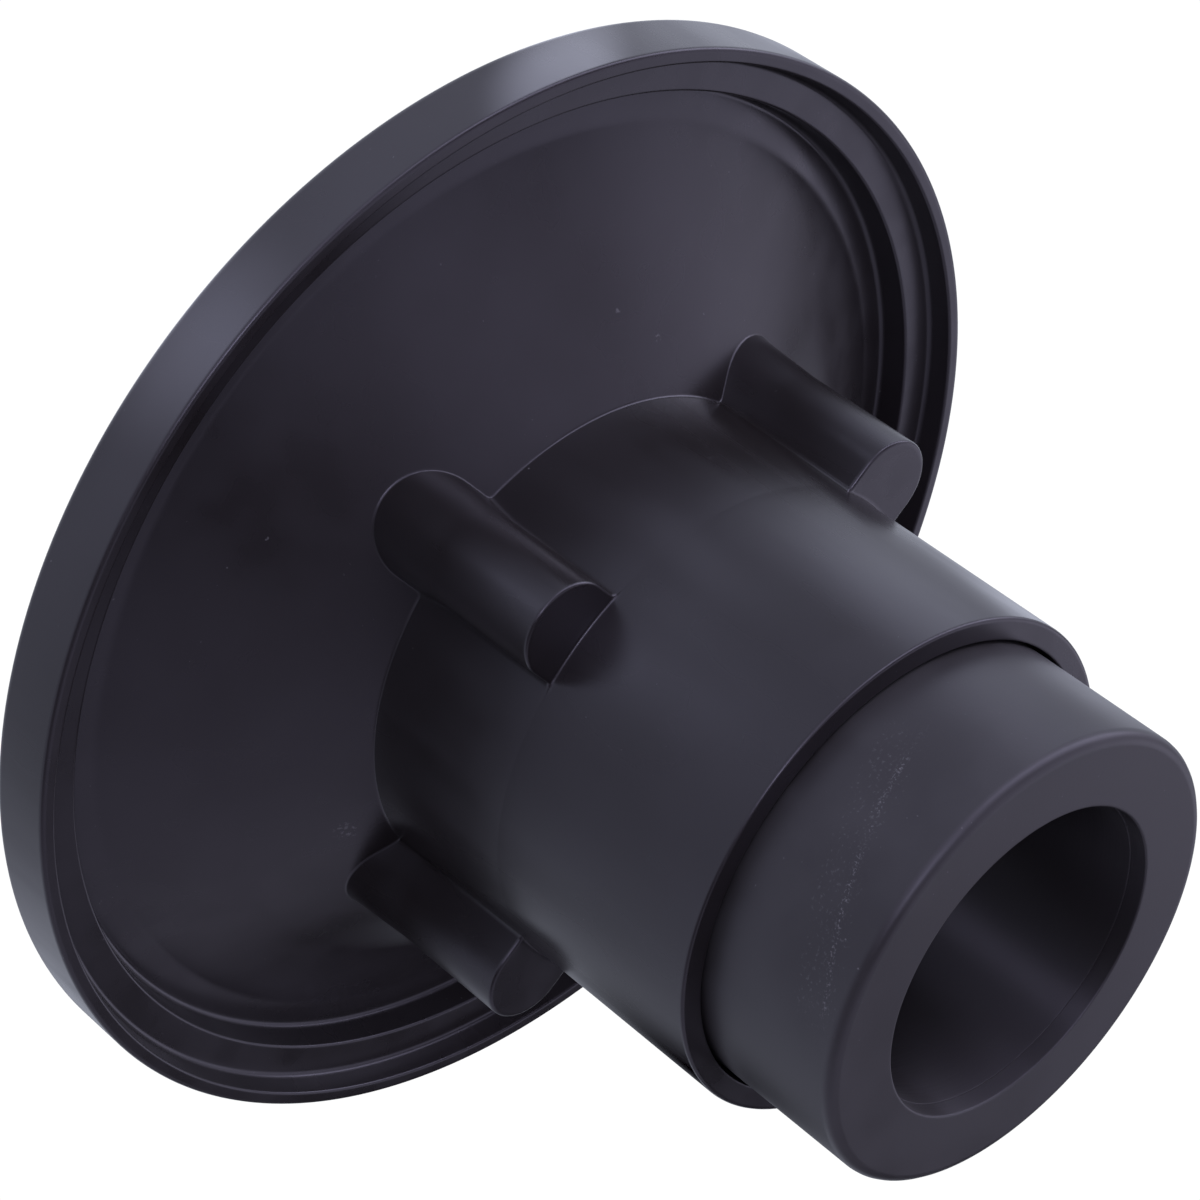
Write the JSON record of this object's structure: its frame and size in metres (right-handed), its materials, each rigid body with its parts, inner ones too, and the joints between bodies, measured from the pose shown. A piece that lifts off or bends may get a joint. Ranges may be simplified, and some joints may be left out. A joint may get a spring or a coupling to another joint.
{
  "type": "toilet flange",
  "caption": "Round conical flange with a stepped rim, a barrel with blind screw bosses along it, and a reducing bushing that takes a 2 inch drain pipe.",
  "frame": {"origin": "centre of the flange's front face, at the bottom of the part as it stands on that face", "axes": "+Z along the barrel, from the flange towards the bushing's mouth; +X and +Y each through a screw boss"},
  "size_m": [0.222, 0.222, 0.1372],
  "materials": {
    "flange_plastic": "satin gloss, injection moulded",
    "bushing_plastic": "satin, slightly duller than the flange",
    "insert_brass": "machined"
  },
  "bodies": {
    "root": {"flange_body": "flange_plastic", "reducing_bushing": "bushing_plastic", "boss_insert_1": "insert_brass", "boss_insert_2": "insert_brass", "boss_insert_3": "insert_brass", "boss_insert_4": "insert_brass"}
  },
  "joints": []
}
